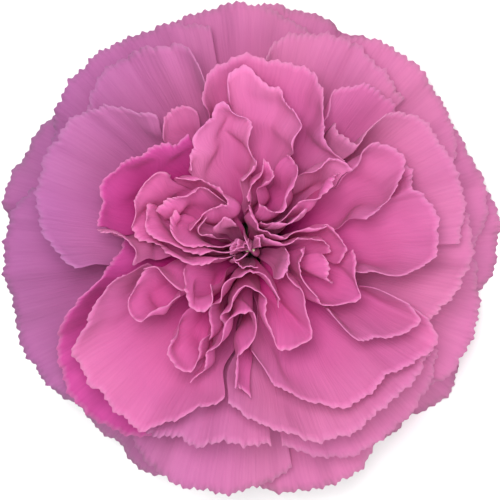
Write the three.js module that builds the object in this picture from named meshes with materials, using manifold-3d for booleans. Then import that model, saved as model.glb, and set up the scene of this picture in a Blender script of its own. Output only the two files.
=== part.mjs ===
// One carnation bloom, cut just under its calyx and lying on a table as it comes to rest: on the
// edge of its cut stem and on its guard petals. Sizes are in millimetres and degrees.
//
// The petals are drawn as a gardener draws a floral diagram: each is a curve across the bud, as seen
// down the axis. The bud is a nest of shells, shell 0 on the axis and shell 1 against the calyx, and
// every shell opens along its own meridian. Curves that don't cross in the diagram make petals that
// don't touch in the bloom.
import * as THREE from "three";
import { ConvexHull } from "three/addons/math/ConvexHull.js";
import { mergeVertices } from "three/addons/utils/BufferGeometryUtils.js";
import Module from "manifold-3d";

const wasm = await Module();
wasm.setup();

// ---- Driving dimensions ----
const STEM_RADIUS = 2.8;
const STEM_LENGTH = 2.6; // what is left of the stem under the receptacle
const FOOT_HEIGHT = 6.4; // where the petals' claws stand on the receptacle
const FOOT_RADIUS = 5.9; // ring of the outermost claws
const MOUTH_HEIGHT = 22; // rim of the calyx, where the petals bend out
const MOUTH_RADIUS = 7.7; // outermost petals as they pass the mouth
const OVARY_RADIUS = 1.9;
const OVARY_HEIGHT = 8;
const CLAW_GAP = 0.5; // between the ovary and the innermost claws
const STYLE_RADIUS = 0.3;
const STYLE_HEIGHT = 21; // above the ovary
const STYLE_CHANNEL = 1.1; // radius kept free round the axis for the two styles
const CLAW_THICKNESS = 0.17;
const BLADE_THICKNESS = 0.34;
const CALYX_WALL = 0.6;
const CALYX_TOOTH = 4.6; // depth of the cuts between its five teeth
const BRACT_WALL = 0.45;
const BRACT_HEIGHT = 7;
const CLEARANCE = 0.3; // between pieces that touch
const MOST_LEAN = 45; // the bloom lies face up, no further over than this

// How the shells open beyond the mouth: straight up at first, round a bend to some heading from
// upright, and from there on a steady curl. The inner ones turn up again, the outermost droop.
const RISE = 5.5; // straight part of the innermost shell; the outermost has none
const BEND_INNER = 4; // radius of the bend
const BEND_OUTER = 3.3;
const OPENING = 92; // degrees per shell
const OPENING_OUTER = 17; // more for the outermost
const FLARE = 370; // more for the shells in between,
const UPTURN = 950; // which turn up again by so much over CURL_LENGTH
const DROOP = 34; // what the outermost droop by over CURL_LENGTH
const CURL_LENGTH = 30;

// Folds that run through all the petals alike, so that neighbours nest.
const FOLD_COUNT = 9;
const FOLD_DEPTH = 0.0166; // in shells, CURL_LENGTH beyond the mouth
const FOLD_IN_HEART = 0.35; // share of that on the axis
const FOLD_SHIFT = 16; // radians of phase per shell

const RAD = Math.PI / 180;
const clamp = (x, low, high) => Math.min(high, Math.max(low, x));
const mix = (a, b, t) => a + (b - a) * t;
const smooth = (x) => THREE.MathUtils.smoothstep(x, 0, 1);

// ---- The opening bud ----
const mouthRadius = (shell) => mix(STYLE_CHANNEL, MOUTH_RADIUS, shell);
const footRadius = (shell) => mix(OVARY_RADIUS + CLAW_GAP, FOOT_RADIUS, shell);
const between = (shell) => shell * (1 - shell) ** 2;
const heading = (shell) => (OPENING * shell + OPENING_OUTER * shell ** 3 + FLARE * between(shell)) * RAD;
const curl = (shell) => ((DROOP * shell * (shell - 0.5) - UPTURN * between(shell)) * RAD) / CURL_LENGTH;
const LEAST_CURL = 1e-6;

// Inside the calyx: radius of a shell at a share of the claw's height.
const clawRadius = (shell, share) => mix(footRadius(shell), mouthRadius(shell), share);

// Above the calyx: where a shell has got to, so many millimetres beyond the mouth.
function bladeProfile(shell, length) {
  const rise = RISE * (1 - shell);
  const bend = mix(BEND_INNER, BEND_OUTER, shell);
  const turn = heading(shell);
  const turned = Math.min(Math.max(0, length - rise) / bend, turn);
  let radius = mouthRadius(shell) + bend * (1 - Math.cos(turned));
  let height = MOUTH_HEIGHT + Math.min(length, rise) + bend * Math.sin(turned);
  const rest = length - rise - bend * turned;
  if (rest <= 0) return [radius, height];
  const rate = Math.abs(curl(shell)) < LEAST_CURL ? LEAST_CURL : curl(shell);
  radius += (Math.cos(turn) - Math.cos(turn + rate * rest)) / rate;
  height += (Math.sin(turn + rate * rest) - Math.sin(turn)) / rate;
  return [radius, height];
}

// The shape that the bloom's rims make together: how long each shell's blades are.
const DOME_INNER = 17.5;
const DOME_OUTER = 36;
const LONGEST_GUARD = 1.2; // the outermost may be so much longer than that
const domeLength = (shell) => mix(DOME_INNER, DOME_OUTER, shell ** 1.25);

// The value in [low, high] at which a rising function reaches its target.
function solve(rising, target, low, high) {
  for (let i = 0; i < 40; i++) {
    const middle = (low + high) / 2;
    if (rising(middle) < target) low = middle;
    else high = middle;
  }
  return (low + high) / 2;
}
const shellUnder = (radius) => solve((s) => bladeProfile(s, domeLength(s))[0], radius, 0, 1);
const longest = (shell) => domeLength(shell) * mix(1, LONGEST_GUARD, shell);
const lengthToReach = (shell, reach) => solve((l) => bladeProfile(shell, l)[0], reach, 0, longest(shell));

// ---- Thin solids ----
// A closed solid from a grid of points: rows of equal length, with a thickness for each row. A ring's
// rows close on themselves.
function sheetSolid(rows, thicknesses, ring = false) {
  const m = rows.length;
  const n = rows[0].length;
  const at = (j, i) => rows[clamp(j, 0, m - 1)][ring ? (i + n) % n : clamp(i, 0, n - 1)];
  const points = [];
  for (const side of [0.5, -0.5])
    for (let j = 0; j < m; j++)
      for (let i = 0; i < n; i++) {
        const across = at(j, i + 1).clone().sub(at(j, i - 1));
        const along = at(j + 1, i).clone().sub(at(j - 1, i));
        const normal = across.cross(along).normalize();
        points.push(at(j, i).clone().addScaledVector(normal, side * thicknesses[j]));
      }
  const back = m * n;
  const index = [];
  const quad = (a, b, c, d) => index.push(a, b, c, a, c, d);
  const columns = ring ? n : n - 1;
  for (let i = 0; i < columns; i++) {
    const k = (i + 1) % n;
    for (let j = 0; j < m - 1; j++) {
      quad(j * n + i, j * n + k, (j + 1) * n + k, (j + 1) * n + i);
      quad(back + j * n + k, back + j * n + i, back + (j + 1) * n + i, back + (j + 1) * n + k);
    }
    const top = (m - 1) * n;
    quad(i, back + i, back + k, k);
    quad(top + i, top + k, back + top + k, back + top + i);
  }
  if (!ring)
    for (let j = 0; j < m - 1; j++) {
      const right = n - 1;
      quad(j * n, (j + 1) * n, back + (j + 1) * n, back + j * n);
      quad(j * n + right, back + j * n + right, back + (j + 1) * n + right, (j + 1) * n + right);
    }
  return new THREE.BufferGeometry().setFromPoints(points).setIndex(index);
}

// ---- Petals ----
const CLAW_ROWS = [0, 1]; // shares of the claw's height
const BLADE_ROWS = [0.06, 0.12, 0.2, 0.32, 0.46, 0.7, 1]; // shares of the blade's length
const CLAW_WIDTH = 0.3; // share of the petal's full width
const RIM_STEP = 3; // length of rim to a facet
const GUARD_COLUMNS = 6;
const LINE_STEPS = 96;
const CORNER_ROUNDING = 0.11; // share of its length that a guard petal is shorter at its sides
const END_ROUNDING = 0.07; // the same for the others
const THIN_UP_TO = 0.5; // share of the blade that is as thin as the claw
const FAN = 0.4; // share of the blade's length over which it widens to all of it

// The petal's rows. curve(u) gives [shell, azimuth in radians] across the petal, u from 0 to 1,
// and rim(u) the blade's length there. droop is how many shells the rim hangs below the claw's.
function petalRows(curve, rim, columns, root, droop = 0) {
  const rows = [];
  const row = (share, place) => {
    const points = [];
    for (let i = 0; i <= columns; i++) {
      const u = i / columns;
      points.push(place(mix(root, u, share), u));
    }
    rows.push(points);
  };
  for (const share of CLAW_ROWS)
    row(CLAW_WIDTH, (u) => {
      const [shell, azimuth] = curve(u);
      const height = mix(FOOT_HEIGHT, MOUTH_HEIGHT, share);
      return polar(clawRadius(shell, share), azimuth, height);
    });
  for (const share of BLADE_ROWS)
    row(mix(CLAW_WIDTH, 1, smooth(share / FAN)), (u, across) => {
      const [shell, azimuth] = curve(u);
      const length = rim(across) * share;
      const fold = Math.sin(FOLD_COUNT * azimuth + FOLD_SHIFT * shell) * mix(FOLD_IN_HEART, 1, shell);
      const folded = shell + FOLD_DEPTH * fold * (length / CURL_LENGTH) ** 1.5;
      const [radius, height] = bladeProfile(folded + droop * share ** 2, length);
      return polar(radius, azimuth, height);
    });
  return rows;
}

const polar = (radius, azimuth, height) =>
  new THREE.Vector3(radius * Math.cos(azimuth), radius * Math.sin(azimuth), height);

const petalThickness = [
  ...CLAW_ROWS.map(() => CLAW_THICKNESS),
  ...BLADE_ROWS.map((share) => (share < THIN_UP_TO ? CLAW_THICKNESS : BLADE_THICKNESS)),
];

// A spreading petal: an arc of the diagram, from its azimuth, half width, shell and reach. droop is
// how many shells its rim hangs below its claw.
function spreadingPetal({ azimuth, half, shell, reach, droop = 0 }) {
  const curve = (u) => [shell, (azimuth + half * (2 * u - 1)) * RAD];
  const full = lengthToReach(shell + droop, reach);
  const rim = (u) => full * (1 - CORNER_ROUNDING * Math.abs(2 * u - 1) ** 2.6);
  return petalRows(curve, rim, GUARD_COLUMNS, 0.5, droop);
}

// A petal given by its rim: a line of [x, y] seen down the axis, on the dome that the rims make
// together or so many shells under it. A point's third number puts it further under. root is the
// share of the rim that the claw stands below.
function linedPetal({ rim: line, under = 0, root = 0.5 }) {
  const path = new THREE.SplineCurve(line.map(([x, y]) => new THREE.Vector2(x, y)));
  const columns = Math.round(clamp(path.getLength() / RIM_STEP, 4, 13));
  const spots = [];
  for (let i = 0; i <= LINE_STEPS; i++) {
    const t = path.getUtoTmapping(i / LINE_STEPS);
    const spot = path.getPoint(t);
    const shell = shellUnder(spot.length()) + under + furtherUnder(line, t);
    const azimuth = Math.atan2(spot.y, spot.x);
    const turns = i ? Math.round((spots[i - 1].azimuth - azimuth) / (2 * Math.PI)) : 0;
    spots.push({ shell, azimuth: azimuth + turns * 2 * Math.PI, length: lengthToReach(shell, spot.length()) });
  }
  const at = (u, key) => {
    const i = Math.min(LINE_STEPS - 1, Math.floor(u * LINE_STEPS));
    return mix(spots[i][key], spots[i + 1][key], u * LINE_STEPS - i);
  };
  const curve = (u) => [at(u, "shell"), at(u, "azimuth")];
  const rim = (u) => at(u, "length") * (1 - END_ROUNDING * Math.abs(2 * u - 1) ** 3);
  return petalRows(curve, rim, columns, root);
}

// The third number of a line's points, at a share of the way from the first to the last.
function furtherUnder(line, share) {
  const way = share * (line.length - 1);
  const i = Math.min(line.length - 2, Math.floor(way));
  return mix(line[i][2] ?? 0, line[i + 1][2] ?? 0, way - i);
}

const GUARD_PETALS = [
  { azimuth: 97, half: 24, shell: 0.96, reach: 39.6 },
  { azimuth: 72, half: 24, shell: 0.995, reach: 40.3 },
  { azimuth: 47, half: 23, shell: 0.93, reach: 40 },
  { azimuth: 21, half: 22, shell: 0.965, reach: 39.2 },
  { azimuth: 2, half: 17, shell: 1, reach: 40.3 },
  { azimuth: -20, half: 22, shell: 0.945, reach: 38.4 },
  { azimuth: -44, half: 24, shell: 1, reach: 39.4, droop: 0.06 },
  { azimuth: -76, half: 23, shell: 0.965, reach: 40 },
  { azimuth: -101, half: 22, shell: 0.93, reach: 39.4 },
  { azimuth: -130, half: 29, shell: 1, reach: 39.6, droop: 0.06 },
  { azimuth: -167, half: 29, shell: 0.955, reach: 40.2 },
  { azimuth: 157, half: 25, shell: 1, reach: 40.4 },
  { azimuth: 126, half: 26, shell: 0.925, reach: 39.9 },
];

const SECOND_PETALS = [
  { rim: [[2.5, 31], [4, 33.8], [8, 34.6], [12, 34.5], [15.5, 33.8], [18.3, 31.8], [21, 29.5],
    [23.5, 27.5], [26, 25.5]], under: 0.03 },
  { rim: [[13.9, 21.4, 0.06], [15.4, 19.1, 0.04], [17.5, 17.3, 0.01], [19.3, 19.4], [22.3, 21.8],
    [26.5, 21.4], [29.5, 18.5], [32.3, 14.8], [34.2, 10], [35, 5], [35.2, 1]] },
  { rim: [[34.5, 9], [35.6, 4.5], [35.5, -0.5], [34, -5], [31.9, -8.5], [29, -12.5]], under: 0.035 },
  { rim: [[-4, -25.5], [-1.3, -26.3], [0.8, -27.4], [4.4, -28.9], [9.1, -30], [14.4, -29.4],
    [18.6, -27.4], [22.5, -24.5], [27, -20.5], [30.5, -16]] },
  { rim: [[5.4, -32.8], [8.7, -33.2], [13.4, -33.6], [17.5, -32.7], [21.5, -30], [25.5, -26.8],
    [29, -22.5], [32, -17]], under: 0.03 },
  { rim: [[-20, -28], [-16, -29.6], [-11, -29.6], [-8.5, -30.7], [-4.4, -30.5], [-0.7, -31.5],
    [3.6, -33]], under: 0.04 },
  { rim: [[-20.5, 3, 0.17], [-21.3, -0.2, 0.11], [-22.5, -2.9, 0.05], [-24, -4.8], [-27, -7.5],
    [-29.6, -11], [-30.5, -15.5], [-30.2, -19.5], [-28.8, -23.5], [-26, -27], [-22, -30],
    [-17, -32]], under: 0.03 },
  { rim: [[-16, 22.4], [-21, 22.8], [-26, 22.3], [-29.5, 20], [-32, 16], [-33.6, 10.5], [-33.6, 5.5],
    [-32, 1], [-29, -3]] },
  { rim: [[-27, 22.3], [-26.3, 25.6], [-24.4, 27.8], [-21.7, 29.9], [-17.8, 31.8], [-14, 32.7],
    [-10.7, 33], [-8.8, 31], [-7.6, 28]] },
];

const THIRD_PETALS = [
  { rim: [[12.8, 22.4], [13, 24.8], [14.5, 25.6], [19, 25.7], [22.5, 24.6], [25, 22.7]], under: 0.04 },
  { rim: [[25.2, 15.2, 0.05], [25.9, 12.2, 0.03], [25.4, 9.8], [27.5, 8.5], [29.5, 6], [30.3, 3.3],
    [30.1, 0.5], [28, -2.2], [24, -3.6], [20, -3.6], [17.6, -2.6]] },
  { rim: [[1, -17], [2.7, -19.5], [5, -22], [8, -24], [12, -24.6], [16, -23.8], [20, -22], [24, -19.5],
    [28, -16.5], [29.6, -14], [29, -11.5], [27, -9.5]], root: 0.4 },
  { rim: [[13.6, -10.2], [15.2, -12.8], [19, -14.3], [23, -13.8], [26.2, -11.6], [25.6, -9.2],
    [23.5, -7.6], [20.5, -7]] },
  { rim: [[-20.5, -3.6], [-24, -7], [-26.3, -11.5], [-27.2, -15.3], [-25.9, -20], [-23.5, -24],
    [-20.5, -26.8], [-16.8, -28.2], [-12, -27.2], [-7.5, -25.9], [-4.4, -24.5]] },
  { rim: [[-25, 3.5], [-24.5, 8], [-22, 12], [-18, 15], [-12.5, 17.2], [-9.5, 18.6]] },
  { rim: [[-14.6, 19.4], [-14, 21.8], [-11.5, 22.9], [-9, 22.4]], under: 0.02 },
  { rim: [[-7.8, 24.2], [-7.3, 27], [-5.3, 29.3], [-1, 30.5], [3, 30.5], [7, 30], [9.8, 28],
    [11.3, 24.5], [12, 20.5], [12.8, 17.5], [15, 14.8]], root: 0.4 },
  { rim: [[16.9, 13.4], [18, 16], [21, 16.8], [23.6, 15], [23.9, 11.5], [22.8, 8.5], [21, 6.8],
    [18.5, 5.5]], root: 0.55 },
  { rim: [[-25.5, 3.2], [-22, 2.6], [-19.5, 1.6], [-18.6, -0.3], [-18.8, -2]] },
];

const HEART_PETALS = [
  { rim: [[-13.2, 12.8], [-15, 11.8], [-16.8, 10], [-18.2, 7.5], [-18.6, 5], [-18, 2.8], [-16.5, 1],
    [-14, -0.3], [-12, -1], [-9.5, -1.7], [-6, -1.8], [-3.2, -1]], root: 0.62 },
  { rim: [[-16.8, 7.6], [-16.4, 6], [-15.8, 4.3], [-14.7, 2.8], [-13, 1.3], [-11, 0.2], [-8, -0.4],
    [-4.5, -0.3], [-2, 0.6], [-0.2, 1.8]], root: 0.6 },
  { rim: [[-15.2, 5.9], [-13.7, 6.7], [-11, 8.6], [-8.3, 9.8], [-5.5, 9.2], [-3.9, 7.8]], root: 0.75 },
  { rim: [[-12.2, 6.2], [-12.6, 5], [-11.9, 3.4], [-10.3, 1.7], [-8, 0.6], [-5, 0.6],
    [-3, 1.5]], root: 0.6 },
  { rim: [[-12.5, 12.2], [-9.5, 12], [-6.5, 11], [-4, 9.5], [-2.6, 8], [-3, 6.5], [-5, 5.9], [-8, 5.5],
    [-10.2, 4]], root: 0.35 },
  { rim: [[-9.8, 12.8], [-9.8, 14.7], [-8.8, 17.5], [-7, 20], [-5.2, 22.5], [-4, 23.2], [-2, 21.8],
    [-0.3, 19.2], [0.5, 16], [0.3, 13.5], [-1.6, 11.4]], root: 0.85 },
  { rim: [[-0.6, 8.3], [0.3, 10.5], [1.3, 13], [2.2, 14], [3.2, 12.7], [2.7, 11],
    [1.6, 9.8]], root: 0.3 },
  { rim: [[5.5, 16], [6.8, 13.5], [7.2, 10.5], [6.3, 8], [4.5, 6.6], [2.5, 6.4],
    [1, 7.1]], root: 0.6 },
  { rim: [[15.6, 13.2], [14, 11.2], [12, 9.3], [9, 7.3], [6.5, 5.7], [4, 4.7],
    [1.8, 5.3]], root: 0.6 },
  { rim: [[-0.6, 6.9], [0.3, 5], [2, 3.4], [4.5, 2.4], [7, 2.4], [9, 3.3], [11, 4.1], [13, 4],
    [14.4, 2], [15, 0], [15.2, -2.3]], root: 0.35 },
  { rim: [[0.8, 2.2], [3, 1.3], [6, 1.1], [8.5, 1.7], [10.5, 2.5], [12.3, 2.3], [13, 1],
    [13.3, -1]], root: 0.35 },
  { rim: [[8.6, 0], [8.5, -2.5], [9.2, -5], [10.5, -7.5], [12.3, -9.3], [14.3, -9.4], [16, -7.5],
    [16.8, -5], [17, -2.5], [16.8, 0]], root: 0.3 },
  { rim: [[10.3, -0.4], [11, -2.2], [12.3, -4.2], [14, -6.5]], root: 0.3 },
  { rim: [[6.6, -1.8], [6.7, -3.5], [7.6, -5.5], [8.2, -8], [9, -11], [8.2, -13.5], [5.8, -15],
    [4.2, -14.5], [3.2, -12.5], [2.5, -10], [1.8, -8], [0.5, -6.5], [-1, -6.1], [-2.7, -7.3],
    [-3.6, -9.5], [-4, -12]], root: 0.45 },
  { rim: [[-6.4, -14.5], [-5.8, -10], [-4.6, -7], [-2.8, -4.9], [-0.5, -3.8], [1.8, -4.1], [3.7, -5.7],
    [4.8, -8], [5.4, -10]], root: 0.45 },
  { rim: [[-9.8, -23], [-7.6, -19.6], [-6, -16.5], [-4.6, -13.8], [-2.6, -11], [-0.4, -10.3],
    [0.9, -12], [-0.3, -14.5], [-1.8, -17], [-2.6, -19.5], [-2, -22], [0.2, -24.4]], root: 0.45 },
  { rim: [[-10.6, -2.6], [-10.8, -5], [-10.2, -7.5], [-8.6, -9.2], [-6.9, -8.3],
    [-6.4, -6]], root: 0.4 },
  { rim: [[-17.8, -3.6], [-18.8, -6.8], [-18, -9.7], [-16, -10.8], [-14, -9.7],
    [-12.6, -7.6]], root: 0.6 },
  { rim: [[-12.8, -12.4], [-12.9, -15.5], [-12, -17.9], [-9.5, -19], [-7.9, -17.6],
    [-7.2, -15]], root: 0.6 },
  { rim: [[-3.3, 24.4], [-3.6, 26.8], [-1.5, 28.2], [1.5, 28], [4.8, 26], [6.3, 22.8], [7.7, 19.5],
    [6.8, 16.8]] },
  { rim: [[-16.5, -3], [-14.5, -3.4], [-13, -4.6], [-11.6, -6]] },
];

const PETAL_COLOUR = 0xd8479b;
const HEART_COLOUR = 0xc22a80;
const GREEN = 0x6f8f4e;
const STEM_GREEN = 0x7d9a55;
const PISTIL_GREEN = 0xb9c98c;
const flesh = (color, roughness = 0.6) =>
  new THREE.MeshStandardMaterial({ color, roughness, metalness: 0, side: THREE.DoubleSide });

function piece(name, geometry, material) {
  const mesh = new THREE.Mesh(geometry, material);
  mesh.name = name;
  return mesh;
}

function petals() {
  const group = new THREE.Group();
  const add = (kind, list, rowsOf, material) =>
    list.forEach((petal, i) => {
      const name = `${kind}_petal_${String(i + 1).padStart(2, "0")}`;
      group.add(piece(name, sheetSolid(rowsOf(petal), petalThickness), material));
    });
  add("guard", GUARD_PETALS, spreadingPetal, flesh(PETAL_COLOUR));
  add("second", SECOND_PETALS, linedPetal, flesh(PETAL_COLOUR));
  add("third", THIRD_PETALS, linedPetal, flesh(PETAL_COLOUR));
  add("heart", HEART_PETALS, linedPetal, flesh(HEART_COLOUR));
  return group;
}

// ---- Calyx, bracts, receptacle, ovary and styles ----
const CALYX_OFFSET = CLAW_THICKNESS / 2 + CLEARANCE + CALYX_WALL / 2; // its middle, outside shell 1
const CALYX_FOOT_RADIUS = FOOT_RADIUS + CALYX_OFFSET + CALYX_WALL / 2; // outside, where it grows out
const CALYX_TIP = 1.2; // how far the teeth run past the mouth
const CALYX_ROWS = [0, 0.5, 0.8, 0.9, 1]; // shares of the way from its foot to its edge
const TOOTH_COUNT = 5;
const COLUMNS_PER_TOOTH = 8;

// The calyx: a tube round the claws, whose upper edge is cut into teeth that the petals press outwards.
function calyx() {
  const columns = TOOTH_COUNT * COLUMNS_PER_TOOTH;
  const clawLength = MOUTH_HEIGHT - FOOT_HEIGHT;
  const rows = CALYX_ROWS.map((share) => {
    const row = [];
    for (let i = 0; i < columns; i++) {
      const cut = Math.abs(2 * ((i / COLUMNS_PER_TOOTH) % 1) - 1); // 0 at a tooth's tip, 1 between two
      const edge = clawLength + CALYX_TIP - (CALYX_TOOTH + CALYX_TIP) * cut ** 1.5;
      row.push(calyxPoint(edge * share, clawLength, (i / columns) * 2 * Math.PI));
    }
    return row;
  });
  return sheetSolid(rows, rows.map(() => CALYX_WALL), true);
}

// A point of the calyx's wall, so many millimetres up from its foot along the outermost shell.
function calyxPoint(way, clawLength, azimuth) {
  if (way <= clawLength)
    return polar(clawRadius(1, way / clawLength) + CALYX_OFFSET, azimuth, FOOT_HEIGHT + way);
  const [radius, height] = bladeProfile(1, way - clawLength);
  const turned = (way - clawLength) / BEND_OUTER;
  const out = CALYX_OFFSET * Math.cos(turned);
  return polar(radius + out, azimuth, height - CALYX_OFFSET * Math.sin(turned));
}

const BRACT_HALF = 56; // degrees to either side of its middle, at its foot
const BRACT_TIP = 0.04; // share of that at its tip
const BRACT_SUNK = 1.2; // its foot below the calyx's
const BRACT_COLUMNS = 6;

// A bract: a short pointed scale clasping the foot of the calyx, layer 0 against it or 1 outside that.
function bract(azimuth, layer) {
  const radius = CALYX_FOOT_RADIUS + CLEARANCE + BRACT_WALL / 2 + layer * (BRACT_WALL + CLEARANCE);
  const spread = (MOUTH_RADIUS - FOOT_RADIUS) / (MOUTH_HEIGHT - FOOT_HEIGHT);
  const rows = [0, 0.25, 0.5, 0.75, 1].map((share) => {
    const half = BRACT_HALF * (1 - (1 - BRACT_TIP) * share ** 2.2);
    const up = BRACT_HEIGHT * share;
    const row = [];
    for (let i = 0; i <= BRACT_COLUMNS; i++) {
      const angle = (azimuth + half * ((2 * i) / BRACT_COLUMNS - 1)) * RAD;
      row.push(polar(radius + spread * up, angle, FOOT_HEIGHT - BRACT_SUNK + up));
    }
    return row;
  });
  return sheetSolid(rows, rows.map(() => BRACT_WALL));
}

// The receptacle with what is left of the stem, cut square.
function receptacle() {
  const top = FOOT_HEIGHT - CLEARANCE;
  const edge = 0.9; // height of its upright edge
  const flare = new THREE.CubicBezierCurve(
    new THREE.Vector2(STEM_RADIUS, STEM_LENGTH),
    new THREE.Vector2(STEM_RADIUS + 0.3, STEM_LENGTH + 1.4),
    new THREE.Vector2(CALYX_FOOT_RADIUS, STEM_LENGTH + 1.2),
    new THREE.Vector2(CALYX_FOOT_RADIUS, top - edge),
  );
  const profile = [new THREE.Vector2(0, 0), new THREE.Vector2(STEM_RADIUS, 0), ...flare.getPoints(5)];
  profile.push(new THREE.Vector2(CALYX_FOOT_RADIUS, top), new THREE.Vector2(0, top));
  return new THREE.LatheGeometry(profile, 24).rotateX(Math.PI / 2);
}

// The pistil: a seed case that ends in two slender styles.
function pistil() {
  const profile = [new THREE.Vector2(0, 0), new THREE.Vector2(OVARY_RADIUS * 0.7, 0)];
  for (const [share, height] of [[0.95, 0.2], [1, 0.4], [0.85, 0.65], [0.5, 0.9], [0.45, 1]])
    profile.push(new THREE.Vector2(OVARY_RADIUS * share, OVARY_HEIGHT * height));
  profile.push(new THREE.Vector2(0, OVARY_HEIGHT));
  const seedCase = new THREE.LatheGeometry(profile, 12).rotateX(Math.PI / 2);
  return joined([seedCase, style(-1), style(1)]).translate(0, 0, FOOT_HEIGHT);
}

function style(side) {
  const sunk = 1; // into the seed case that it grows from
  const apart = STYLE_RADIUS + CLEARANCE / 2;
  const foot = OVARY_HEIGHT - sunk;
  const path = new THREE.CatmullRomCurve3([
    new THREE.Vector3(side * apart, 0, foot),
    new THREE.Vector3(side * apart, 0.12, foot + STYLE_HEIGHT / 2),
    new THREE.Vector3(side * apart, 0, foot + STYLE_HEIGHT),
  ]);
  const section = new THREE.Shape().absarc(0, 0, STYLE_RADIUS, 0, 2 * Math.PI);
  return new THREE.ExtrudeGeometry(section, { extrudePath: path, steps: 6, curveSegments: 8 });
}

// One solid out of several that run into each other.
function joined(geometries) {
  const solids = geometries.map((geometry) => {
    const bare = new THREE.BufferGeometry();
    bare.setAttribute("position", geometry.getAttribute("position"));
    if (geometry.index) bare.setIndex(geometry.index);
    const merged = mergeVertices(bare, 1e-4);
    const vertProperties = merged.getAttribute("position").array;
    const triVerts = Uint32Array.from(merged.index.array);
    return new wasm.Manifold(new wasm.Mesh({ numProp: 3, vertProperties, triVerts }));
  });
  const { vertProperties, triVerts } = solids.reduce((sum, solid) => sum.add(solid)).getMesh();
  const result = new THREE.BufferGeometry();
  result.setAttribute("position", new THREE.BufferAttribute(vertProperties, 3));
  return result.setIndex(new THREE.BufferAttribute(triVerts, 1));
}

// ---- Assembly ----
function bloomInItsOwnFrame() {
  const group = petals();
  const green = flesh(GREEN, 0.55);
  group.add(piece("calyx", calyx(), green));
  for (const [i, azimuth] of [0, 180, 90, 270].entries())
    group.add(piece(`bract_${i + 1}`, bract(azimuth, i < 2 ? 0 : 1), green));
  group.add(piece("receptacle", receptacle(), flesh(STEM_GREEN)));
  group.add(piece("pistil", pistil(), flesh(PISTIL_GREEN)));
  return group;
}

// Every corner of the bloom, and its centre of mass if it is the same stuff all through.
function cornersAndCentre(group) {
  const corners = [];
  const centre = new THREE.Vector3();
  let volume = 0;
  group.updateMatrixWorld(true);
  group.traverse((mesh) => {
    if (!mesh.isMesh) return;
    const flat = mesh.geometry.index ? mesh.geometry.toNonIndexed() : mesh.geometry;
    const places = flat.getAttribute("position");
    const own = [];
    for (let i = 0; i < places.count; i++)
      own.push(new THREE.Vector3().fromBufferAttribute(places, i).applyMatrix4(mesh.matrixWorld));
    for (let i = 0; i < own.length; i += 3) {
      const [a, b, c] = own.slice(i, i + 3);
      const share = a.dot(b.clone().cross(c)) / 6;
      volume += share;
      centre.addScaledVector(a.clone().add(b).add(c), share / 4);
    }
    corners.push(...own);
  });
  return { corners, centre: centre.divideScalar(volume) };
}

// Lays the bloom on the table, face up, as it settles: on the face of its convex hull that its centre
// of mass stands lowest over. Then turns it on the table so that it leans to the front.
function layDown(group) {
  const { corners, centre } = cornersAndCentre(group);
  const height = ({ constant, normal }) => constant - normal.dot(centre);
  const isFaceUp = ({ normal }) => normal.z < -Math.cos(MOST_LEAN * RAD);
  const hull = new ConvexHull().setFromPoints(corners);
  const lowest = hull.faces.filter(isFaceUp).sort((a, b) => height(a) - height(b))[0].normal;
  const lean = new THREE.Quaternion().setFromUnitVectors(lowest, new THREE.Vector3(0, 0, -1));
  const turn = -Math.PI / 2 - Math.atan2(lowest.y, lowest.x);
  group.quaternion.setFromAxisAngle(new THREE.Vector3(0, 0, 1), turn).multiply(lean);
  const box = new THREE.Box3().setFromObject(group, true);
  const middle = box.getCenter(new THREE.Vector3());
  group.position.set(-middle.x, -middle.y, -box.min.z);
  return group;
}

const bloom = layDown(bloomInItsOwnFrame());
export default bloom;
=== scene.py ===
# One carnation bloom, cut just under its calyx and lying face up on a table as it settles.
# Lengths are in millimetres in the bloom's own frame, and turned into metres as each piece is made.
import math

import bpy
import numpy as np
from mathutils import Matrix, Vector


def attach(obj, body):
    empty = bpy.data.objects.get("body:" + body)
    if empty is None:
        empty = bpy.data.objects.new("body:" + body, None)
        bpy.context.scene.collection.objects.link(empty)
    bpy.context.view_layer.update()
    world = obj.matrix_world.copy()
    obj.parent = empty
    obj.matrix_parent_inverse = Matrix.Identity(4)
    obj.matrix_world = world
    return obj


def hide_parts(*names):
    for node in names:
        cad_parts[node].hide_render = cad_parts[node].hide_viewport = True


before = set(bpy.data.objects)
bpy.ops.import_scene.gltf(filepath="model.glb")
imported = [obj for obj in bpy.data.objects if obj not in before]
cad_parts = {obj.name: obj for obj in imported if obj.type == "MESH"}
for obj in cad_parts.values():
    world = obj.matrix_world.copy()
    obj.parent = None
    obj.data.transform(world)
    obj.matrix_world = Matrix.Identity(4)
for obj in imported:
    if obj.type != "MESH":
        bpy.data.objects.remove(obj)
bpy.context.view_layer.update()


# ---- Receptacle and cut stem ----
# The green end that everything grows from: a stub of stem, cut square, that widens to carry the calyx.
# The bloom's own frame is read off it: +Z up the axis, azimuth 0 through the first bract.
FOOT_HEIGHT = 6.4
CLEARANCE = 0.3
MM = 0.001


def faces_of(node):
    """The middles, normals and areas of a CAD node's faces."""
    mesh = bpy.data.objects[node].data
    middles = np.array([face.center[:] for face in mesh.polygons])
    normals = np.array([face.normal[:] for face in mesh.polygons])
    areas = np.array([face.area for face in mesh.polygons])
    return middles, normals, areas


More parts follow.
